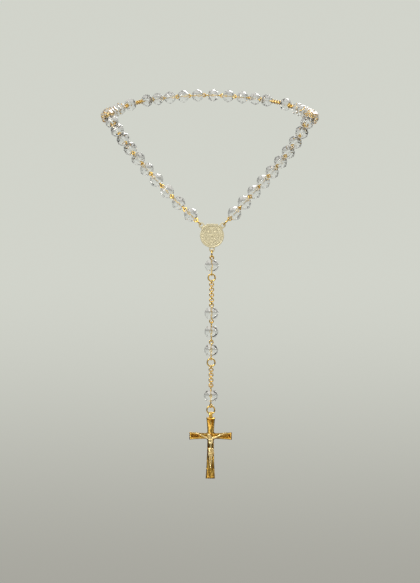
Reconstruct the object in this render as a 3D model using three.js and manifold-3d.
// A five-decade chain rosary as it hangs from the neck: two strands of beads fall over the chest
// to a centre medal, a pendant with five beads and a crucifix hangs below the medal, and the rest
// of the loop runs back over the shoulders and round behind the neck.
// Millimetres. X is to the right of someone facing the wearer, Y points back through the neck, Z is up.
// Small metal pieces are built along their own Z, with the plane of their rings across their own Y.

import * as THREE from 'three';
import { mergeVertices } from 'three/addons/utils/BufferGeometryUtils.js';
import Module from 'manifold-3d';

const wasm = await Module();
wasm.setup();

// ---- Driving dimensions, in mm ----

const PITCH = 10.3;              // from one bead to the next along the chain
const BEAD = { radius: 4, length: 6, bore: 0.6, tableRadius: 2.4, facets: 8 };
const EYE = { radius: 1.0, wire: 0.3 };          // the bent loop at each end of a bead's wire
const LINK = { radius: 0.95, wire: 0.25 };       // small round chain links
const RING_WIRE = 0.35;                          // the thicker wire of all jump rings
const SLACK = 0.1;               // clearance between two wires that hang in each other
const WELD = 0.06;               // how deep wires sink into each other where they are one piece

const EAR_RING_RADIUS = 1.7;
const LUG_RING_RADIUS = 2.0;
const UPPER_CHAIN = { ring: 1.9, links: 9 };
const LOWER_CHAIN = { ring: 2.1, links: 8 };
const BAIL_RING_RADIUS = 2.15;
const LAST_PIN_LENGTH = 10;      // the longer wire of the bead above the crucifix
const LOOP_CHAIN_LINKS = 8;      // links between decades in the loop

const MEDAL = {
  radius: 6.7, thickness: 1.6, topWidth: 6.6, topHeight: 6.6, earThickness: 1.0,
  earX: 6.0, earZ: 5.85, earRadius: 1.55, lugZ: -7.6, lugRadius: 1.6, hole: 0.85,
  webReach: 0.8,                 // how far out the webs that carry the ears and the lug are centred
};
const EAR_SLOPE = THREE.MathUtils.degToRad(44);  // direction in which the rings pull on the ears

const CROSS = {
  halfSpan: 11.8, armTop: 10.3, armBottom: 23.7, depth: 2.2, bevel: 0.35,
  armEnd: 2.1, armWaist: 1.55, topEnd: 2.45, postWaist: 1.8, footEnd: 2.6,
  tabRadius: 1.6, tabWidth: 1.8, tabHole: 1.1, tabWireLift: 0.5, tabAboveTop: 1.5,
};

const STRAND_BEADS = 10;         // beads of each strand, from the medal up to the neck
const DECADES_BEHIND = 3;        // full decades in the hidden part of the loop
const LEFT_DRAPE = [[-32, 10, 30], [-49, 31, 50.5], [-60, 62, 69.5]];
const RIGHT_DRAPE = [[28.7, 20, 31], [46.6, 41.5, 49.4], [56.4, 68, 70.5]];
const NAPE_RISE = 27;            // how far the nape lies above the sides of the neck
const NECK_HALF_WIDTH = 61;      // widest half width of the loop behind the shoulders
const LOOP_EASE = 1.0006;        // the loop's curve over the summed length of its straight pieces
const OPEN_PIVOT_GAP = 0.35;     // between the right ear ring and the loose end of the right strand

// How finely round pieces are faceted: sides round the wire, steps round the ring.
const FINE = {
  eye: [4, 6], link: [4, 6], openLink: [5, 8], ring: [6, 12], chainRing: [5, 12], bail: [6, 14],
};

// ---- Materials ----

const crystal = new THREE.MeshStandardMaterial({ color: 0xeef1f0, roughness: 0.05, metalness: 0 });
const wireGold = new THREE.MeshStandardMaterial({ color: 0xd9a02a, roughness: 0.25, metalness: 1 });
const paleGold = new THREE.MeshStandardMaterial({ color: 0xe6d796, roughness: 0.4, metalness: 1 });
const castGold = new THREE.MeshStandardMaterial({ color: 0xdd9a1c, roughness: 0.28, metalness: 1 });

// ---- Solids ----

const vector = ([x, y, z]) => new THREE.Vector3(x, y, z);
const up = new THREE.Vector3(0, 0, 1);
const towardsViewer = new THREE.Vector3(0, -1, 0);

// A closed three.js geometry as a solid that can be joined and cut.
function solidFrom(geometry) {
  const bare = geometry.clone();
  bare.deleteAttribute('normal');
  bare.deleteAttribute('uv');
  const merged = mergeVertices(bare, 1e-4);
  return new wasm.Manifold(new wasm.Mesh({
    numProp: 3,
    vertProperties: merged.attributes.position.array,
    triVerts: new Uint32Array(merged.index.array),
  }));
}

function geometryFrom(solid) {
  const mesh = solid.getMesh();
  const geometry = new THREE.BufferGeometry();
  geometry.setAttribute('position', new THREE.BufferAttribute(mesh.vertProperties, 3));
  geometry.setIndex(new THREE.BufferAttribute(mesh.triVerts, 1));
  geometry.computeVertexNormals();
  return geometry;
}

const join = (geometries) => geometryFrom(wasm.Manifold.union(geometries.map(solidFrom)));

const cut = (geometry, tools) => geometryFrom(
  tools.reduce((solid, tool) => solid.subtract(solidFrom(tool)), solidFrom(geometry)));

// A ring of round wire in the XZ plane, with a corner at its top and bottom, where it meets the next one.
function wireRing(radius, wire, sides, steps) {
  return new THREE.TorusGeometry(radius, wire, sides, steps).rotateZ(Math.PI / 2).rotateX(Math.PI / 2);
}

// A round bar along Z.
function barZ(radius, length, sides) {
  return new THREE.CylinderGeometry(radius, radius, length, sides).rotateX(Math.PI / 2);
}

// An outline of radius and height turned about Z.
function turned(outline, facets) {
  const points = outline.map(([r, z]) => new THREE.Vector2(r, z));
  return new THREE.LatheGeometry(points, facets).rotateX(Math.PI / 2);
}

// A bead with its bore along Z.
function beadGeometry() {
  const { radius, length, bore, tableRadius, facets } = BEAD;
  const half = length / 2;
  const mouth = [bore, -half];
  return turned([mouth, [tableRadius, -half], [radius, 0], [tableRadius, half], [bore, half], mouth], facets);
}

// The wire through a bead with an eye at each end. The twist turns the lower eye about the wire.
function eyePinGeometry(length, twist) {
  const eye = wireRing(EYE.radius, EYE.wire, ...FINE.eye);
  return join([
    barZ(EYE.wire, length - 2 * EYE.radius, 5),
    eye.clone().translate(0, 0, length / 2),
    eye.clone().rotateZ(twist).translate(0, 0, -length / 2),
  ]);
}

const LINK_STEP = 2 * LINK.radius - (2 * LINK.wire - WELD);   // from one link to the next

// Distance from the top link's upper wire to the bottom link's lower wire.
const linksLength = (count) => 2 * LINK.radius + (count - 1) * LINK_STEP;

// A jump ring centred on the origin with links hanging in it, each a quarter turn from the one before.
function ringAndLinks({ ring, links }) {
  const topWire = -ring + RING_WIRE + LINK.wire - WELD;
  const hanging = Array.from({ length: links }, (_, i) => wireRing(LINK.radius, LINK.wire, ...FINE.link)
    .rotateZ((i + 1) * Math.PI / 2)
    .translate(0, 0, topWire - LINK.radius - i * LINK_STEP));
  return join([wireRing(ring, RING_WIRE, ...FINE.chainRing), ...hanging]);
}

function plateDisc(radius, thickness, x, z, steps) {
  return new THREE.CylinderGeometry(radius, radius, thickness, steps).translate(x, 0, z);
}

// The round medal with a flat top, two ears for the strands and a lug for the pendant.
function medalGeometry() {
  const { radius, thickness, topWidth, topHeight, earThickness, hole, webReach } = MEDAL;
  const body = plateDisc(radius, thickness, 0, 0, 36);
  const top = new THREE.BoxGeometry(topWidth, thickness, topHeight).translate(0, 0, topHeight / 2);
  const places = [[-MEDAL.earX, MEDAL.earZ, MEDAL.earRadius], [MEDAL.earX, MEDAL.earZ, MEDAL.earRadius],
    [0, MEDAL.lugZ, MEDAL.lugRadius]];
  const ears = places.map(([x, z, r]) => plateDisc(r, earThickness, x, z, 16));
  const webs = places.map(([x, z, r]) => plateDisc(r, earThickness, x * webReach, z * webReach, 16));
  const holes = places.map(([x, z]) => plateDisc(hole, 2 * thickness, x, z, 12));
  return cut(join([body, top, ...webs, ...ears]), holes);
}

// The cross's outline: each arm narrows to a waist and flares to its end.
function crossOutline() {
  const { halfSpan, armTop, armBottom, armEnd, armWaist, topEnd, postWaist, footEnd } = CROSS;
  const shape = new THREE.Shape();
  shape.moveTo(-footEnd, -armBottom);
  shape.lineTo(footEnd, -armBottom);
  shape.quadraticCurveTo(postWaist, -armBottom / 2, postWaist, -armWaist);
  shape.quadraticCurveTo(halfSpan / 2, -armWaist, halfSpan, -armEnd);
  shape.lineTo(halfSpan, armEnd);
  shape.quadraticCurveTo(halfSpan / 2, armWaist, postWaist, armWaist);
  shape.quadraticCurveTo(postWaist, armTop / 2, topEnd, armTop);
  shape.lineTo(-topEnd, armTop);
  shape.quadraticCurveTo(-postWaist, armTop / 2, -postWaist, armWaist);
  shape.quadraticCurveTo(-halfSpan / 2, armWaist, -halfSpan, armEnd);
  shape.lineTo(-halfSpan, -armEnd);
  shape.quadraticCurveTo(-halfSpan / 2, -armWaist, -postWaist, -armWaist);
  shape.quadraticCurveTo(-postWaist, -armBottom / 2, -footEnd, -armBottom);
  return shape;
}

// The cross, centred where its arms meet, with the tab that the bail ring passes through sideways.
function crossGeometry() {
  const { depth, bevel, armTop, tabRadius, tabWidth, tabHole, tabAboveTop } = CROSS;
  const plate = new THREE.ExtrudeGeometry(crossOutline(), {
    depth: depth - 2 * bevel, bevelThickness: bevel, bevelSize: bevel, bevelOffset: -bevel,
    bevelSegments: 1, curveSegments: 5,
  }).translate(0, 0, -(depth - 2 * bevel) / 2).rotateX(Math.PI / 2);
  const tabZ = armTop + tabAboveTop;
  const barrel = (radius, width) => new THREE.CylinderGeometry(radius, radius, width, 16)
    .rotateZ(Math.PI / 2).translate(0, 0, tabZ);
  const neck = new THREE.BoxGeometry(tabWidth, tabRadius, tabAboveTop).translate(0, 0, armTop);
  return cut(join([plate, neck, barrel(tabRadius, tabWidth)]), [barrel(tabHole, 2 * tabWidth)]);
}

// A tapered limb from one point to another.
function limb(from, to, fromRadius, toRadius) {
  const [a, b] = [vector(from), vector(to)];
  const along = b.clone().sub(a);
  const barrelAxis = new THREE.Vector3(0, 1, 0);
  const turn = new THREE.Quaternion().setFromUnitVectors(barrelAxis, along.clone().normalize());
  return new THREE.CylinderGeometry(toRadius, fromRadius, along.length(), 6)
    .applyQuaternion(turn)
    .translate(...a.add(b).multiplyScalar(0.5).toArray());
}

function ellipsoid([x, y, z], [rx, ry, rz]) {
  return new THREE.SphereGeometry(1, 8, 6).scale(rx, ry, rz).translate(x, y, z);
}

// The figure in front of the cross: head sunk to one side, arms in a shallow V, feet together.
function corpusGeometry() {
  const back = -CROSS.depth / 2 - 0.05;
  const y = back - 0.55;
  const sides = [-1, 1];
  const pieces = [
    ellipsoid([0, y, -3.1], [1.45, 0.9, 2.5]),
    ellipsoid([0, y, -8.0], [1.25, 0.95, 1.9]),
    ellipsoid([-0.9, y - 0.7, 0.4], [0.85, 0.95, 1.15]),
    limb([0, y, -4.5], [0, y, -7.2], 0.95, 0.95),
    limb([-0.9, y - 0.6, 0], [0, y, -2], 0.6, 0.8),
    ...sides.map((s) => limb([s * 1.0, y, -1.4], [s * 4.6, y, 0.2], 0.62, 0.48)),
    ...sides.map((s) => limb([s * 4.4, y, 0.1], [s * 8.2, y, 1.6], 0.48, 0.42)),
    ...sides.map((s) => limb([s * 0.6, y, -8.5], [s * 0.45, y - 0.6, -13], 0.75, 0.55)),
    ...sides.map((s) => limb([s * 0.45, y - 0.6, -12.7], [s * 0.25, y, -17.2], 0.55, 0.45)),
  ];
  const behind = new THREE.BoxGeometry(30, 4, 50).translate(0, back + 2, 0);
  return cut(join(pieces), [behind]);
}

// ---- Placing ----

const object = new THREE.Group();
const about = new THREE.Group();   // holds every piece, measured from the centre of the medal
object.add(about);

function place(name, geometry, material, position = new THREE.Vector3(), turn = new THREE.Quaternion()) {
  const mesh = new THREE.Mesh(geometry, material);
  mesh.name = name;
  mesh.position.copy(position);
  mesh.quaternion.copy(turn);
  about.add(mesh);
  return mesh;
}

// The turn that lays a piece's Z along a direction and brings its Y as near as it can to a normal.
function turnAlong(direction, normal) {
  const z = direction.clone().normalize();
  const y = normal.clone().addScaledVector(z, -normal.dot(z)).normalize();
  const x = y.clone().cross(z);
  return new THREE.Quaternion().setFromRotationMatrix(new THREE.Matrix4().makeBasis(x, y, z));
}

const quarterTurn = new THREE.Quaternion().setFromAxisAngle(up, Math.PI / 2);

// Walks along a curve and returns the points at the given straight distances from one another.
function stepsAlong(curve, start, distances) {
  const fine = curve.getPoints(4000);
  const points = [start.clone()];
  let index = 0;
  for (const distance of distances) {
    const from = points[points.length - 1];
    while (index < fine.length - 1 && fine[index].distanceTo(from) < distance) index += 1;
    const direction = fine[index].clone().sub(from).normalize();
    points.push(from.clone().addScaledVector(direction, distance));
  }
  return points;
}

// ---- The medal and its two ear rings ----

const RIM_CLEARANCE = MEDAL.hole - RING_WIRE - SLACK;   // how far a ring's wire sits off a hole's centre

function earOf(side) {
  const outward = new THREE.Vector3(side * Math.cos(EAR_SLOPE), 0, Math.sin(EAR_SLOPE));
  const hole = new THREE.Vector3(side * MEDAL.earX, 0, MEDAL.earZ);
  return { hole, outward };
}

function addEarRing(name, side) {
  const { hole, outward } = earOf(side);
  const centre = hole.clone().addScaledVector(outward, RIM_CLEARANCE + EAR_RING_RADIUS);
  const across = towardsViewer.clone().cross(outward);
  const ring = wireRing(EAR_RING_RADIUS, RING_WIRE, ...FINE.ring);
  place(name, ring, wireGold, centre, turnAlong(outward, across));
}

place('centre_medal', medalGeometry(), paleGold);
addEarRing('left_ear_ring', -1);
addEarRing('right_ear_ring', 1);

// ---- The two strands ----

// A wire reaches this far past the point where it meets the next piece.
const PIN_REACH = EYE.wire + SLACK / 2;
const reachInPin = (wire) => wire + EYE.wire + SLACK - PIN_REACH;
const PIN_LENGTH = PITCH - 2 * (EYE.radius - PIN_REACH);

// Eyes face the viewer near the medal and turn gradually to face up at the neck.
function facing(progress) {
  return towardsViewer.clone().multiplyScalar(1 - progress).addScaledVector(up, progress);
}

// One strand from the medal up to the neck. Returns the curve's upper end.
function addStrand(label, side, drape, gap) {
  const { hole, outward } = earOf(side);
  const ringTip = RIM_CLEARANCE + 2 * EAR_RING_RADIUS;
  const hooked = ringTip - reachInPin(RING_WIRE);
  const apart = ringTip + RING_WIRE + gap + EYE.wire + PIN_REACH;
  const start = hole.clone().addScaledVector(outward, gap > 0 ? apart : hooked);
  const curve = new THREE.CubicBezierCurve3(start, ...drape.map(vector));
  const joints = stepsAlong(curve, start, Array(STRAND_BEADS).fill(PITCH));
  for (let i = 0; i < STRAND_BEADS; i += 1) {
    const [low, high] = [joints[i], joints[i + 1]];
    const turn = turnAlong(high.clone().sub(low), facing(i / (STRAND_BEADS - 1)));
    if (i % 2 === 1) turn.multiply(quarterTurn);
    const centre = low.clone().lerp(high, 0.5);
    const number = String(i + 1).padStart(2, '0');
    place(`${label}_bead_${number}`, beadGeometry(), crystal, centre, turn);
    place(`${label}_eye_pin_${number}`, eyePinGeometry(PIN_LENGTH, 0), wireGold, centre, turn);
  }
  return joints[STRAND_BEADS];
}

const leftTop = addStrand('left', -1, LEFT_DRAPE, 0);
const rightTop = addStrand('right', 1, RIGHT_DRAPE, OPEN_PIVOT_GAP);

// ---- The pendant, from the lug down ----

// Hangs one bead on its pin with the pin's upper wire at a height. Returns the lower wire's height.
function addPendantBead(number, topWire, length, roll, twist) {
  const turn = new THREE.Quaternion().setFromAxisAngle(up, roll);
  const pinZ = topWire - EYE.radius - length / 2;
  const beadZ = topWire - EYE.radius - PIN_LENGTH / 2;
  place(`pendant_bead_${number}`, beadGeometry(), crystal, new THREE.Vector3(0, 0, beadZ), turn);
  const pin = eyePinGeometry(length, twist);
  place(`pendant_eye_pin_${number}`, pin, wireGold, new THREE.Vector3(0, 0, pinZ), turn);
  return topWire - 2 * EYE.radius - length;
}

// Hangs a ring with links from a pin's lower wire. Returns the height of the next pin's upper wire.
function addChain(name, chain, pinWire) {
  const centre = pinWire + EYE.wire + SLACK + RING_WIRE - chain.ring;
  place(name, ringAndLinks(chain), wireGold, new THREE.Vector3(0, 0, centre));
  const topLink = centre - chain.ring + RING_WIRE + LINK.wire - WELD;
  return topLink - linksLength(chain.links) + LINK.wire + EYE.wire + SLACK;
}

const EDGE_ON = Math.PI / 2;
const lugWire = MEDAL.lugZ - RIM_CLEARANCE;
const lugRing = wireRing(LUG_RING_RADIUS, RING_WIRE, ...FINE.ring).rotateZ(EDGE_ON);
place('lug_ring', lugRing, wireGold, new THREE.Vector3(0, 0, lugWire - LUG_RING_RADIUS));

const nextEye = EYE.wire + SLACK + EYE.wire;
let wire = lugWire - 2 * LUG_RING_RADIUS + RING_WIRE + SLACK + EYE.wire;
wire = addPendantBead(1, wire, PIN_LENGTH, 0, EDGE_ON);
wire = addChain('upper_chain', UPPER_CHAIN, wire);
wire = addPendantBead(2, wire, PIN_LENGTH, 0, 0) + nextEye;
wire = addPendantBead(3, wire, PIN_LENGTH, EDGE_ON, 0) + nextEye;
wire = addPendantBead(4, wire, PIN_LENGTH, 0, EDGE_ON);
wire = addChain('lower_chain', LOWER_CHAIN, wire);
wire = addPendantBead(5, wire, LAST_PIN_LENGTH, EDGE_ON, 0);

const bailZ = wire + EYE.wire + SLACK + RING_WIRE - BAIL_RING_RADIUS;
const bailRing = wireRing(BAIL_RING_RADIUS, RING_WIRE, ...FINE.bail);
place('bail_ring', bailRing, wireGold, new THREE.Vector3(0, 0, bailZ));

const tabHoleZ = bailZ - BAIL_RING_RADIUS - CROSS.tabWireLift;
const crossCentre = new THREE.Vector3(0, 0, tabHoleZ - CROSS.tabAboveTop - CROSS.armTop);
place('cross', crossGeometry(), castGold, crossCentre);
place('corpus', corpusGeometry(), castGold, crossCentre);

// ---- The rest of the loop, behind the neck ----

// The order of chain runs and beads from the left side of the neck round to the right.
function loopOrder() {
  const order = ['chain', 'bead', 'chain'];
  for (let decade = 0; decade < DECADES_BEHIND; decade += 1) {
    order.push(...Array(STRAND_BEADS).fill('bead'), 'chain', 'bead', 'chain');
  }
  return order;
}

const order = loopOrder();
const runLength = linksLength(LOOP_CHAIN_LINKS) - 2 * reachInPin(LINK.wire);
const distances = order.map((kind) => (kind === 'bead' ? PITCH : runLength));

// A smooth loop from one side of the neck round the nape to the other, for a given depth.
function loopCurve(depth) {
  const middle = leftTop.clone().lerp(rightTop, 0.5);
  const out = (x, y, z) => new THREE.Vector3(middle.x + x, middle.y + y * depth, middle.z + z * NAPE_RISE);
  return new THREE.CatmullRomCurve3([
    leftTop,
    out(-NECK_HALF_WIDTH, 0.22, 0.1),
    out(-NECK_HALF_WIDTH, 0.55, 0.35),
    out(-0.66 * NECK_HALF_WIDTH, 0.87, 0.8),
    out(0, 1, 1),
    out(0.66 * NECK_HALF_WIDTH, 0.87, 0.8),
    out(NECK_HALF_WIDTH, 0.55, 0.35),
    out(NECK_HALF_WIDTH, 0.22, 0.1),
    rightTop,
  ], false, 'centripetal');
}

// The depth at which the loop's pieces just fill the curve.
function loopDepth() {
  const needed = distances.reduce((sum, distance) => sum + distance, 0);
  let [low, high] = [100, 300];
  for (let i = 0; i < 40; i += 1) {
    const middle = (low + high) / 2;
    if (loopCurve(middle).getLength() < needed * LOOP_EASE) low = middle;
    else high = middle;
  }
  return low;
}

const napeCurve = loopCurve(loopDepth());
const loopJoints = stepsAlong(napeCurve, leftTop, distances);
loopJoints[loopJoints.length - 1] = rightTop;

// A bead with its two eyes as one plain turned piece, as long as its share of the loop.
function plainBead(length) {
  const [half, end] = [BEAD.length / 2, length / 2 + WELD];
  const eye = EYE.radius + EYE.wire;
  const upper = [[BEAD.tableRadius, half], [EYE.wire, half], [eye, end - EYE.radius],
    [EYE.wire, end], [0, end]];
  const lower = upper.map(([r, z]) => [r, -z]).reverse();
  return turned([...lower, [BEAD.radius, 0], ...upper], 6);
}

// A run of links as one plain turned piece with a bulge for each link.
function plainRun(length) {
  const end = length / 2 + WELD;
  const step = (2 * end) / LOOP_CHAIN_LINKS;
  const outline = [[0, -end]];
  for (let i = 0; i < LOOP_CHAIN_LINKS; i += 1) {
    const low = -end + i * step;
    outline.push([LINK.wire, low], [LINK.radius + LINK.wire, low + step / 2]);
  }
  outline.push([LINK.wire, end], [0, end]);
  return turned(outline, 4);
}

const endReach = reachInPin(LINK.wire);

// The open link at one end of the loop, which a strand's top pin hangs in.
function endLink(joint, inward) {
  return wireRing(LINK.radius, LINK.wire, ...FINE.openLink)
    .applyQuaternion(turnAlong(inward, up))
    .translate(...joint.clone().addScaledVector(inward, LINK.radius - endReach).toArray());
}

function loopParts() {
  const last = order.length - 1;
  const parts = order.map((kind, i) => {
    const [from, to] = [loopJoints[i].clone(), loopJoints[i + 1].clone()];
    const along = to.clone().sub(from).normalize();
    if (i === 0) from.addScaledVector(along, 2 * LINK.radius - endReach);
    if (i === last) to.addScaledVector(along, endReach - 2 * LINK.radius);
    const piece = kind === 'bead' ? plainBead(PITCH) : plainRun(from.distanceTo(to));
    return piece.applyQuaternion(turnAlong(along, up)).translate(...from.lerp(to, 0.5).toArray());
  });
  const [first, second] = loopJoints;
  const [beforeLast, end] = loopJoints.slice(-2);
  parts.push(endLink(first, second.clone().sub(first).normalize()));
  parts.push(endLink(end, beforeLast.clone().sub(end).normalize()));
  return parts;
}

place('back_loop', join(loopParts()), wireGold);

// ---- The origin is the middle of the loop behind the neck ----

const nape = napeCurve.getPoint(0.5);
about.position.copy(nape).negate();

export default object;
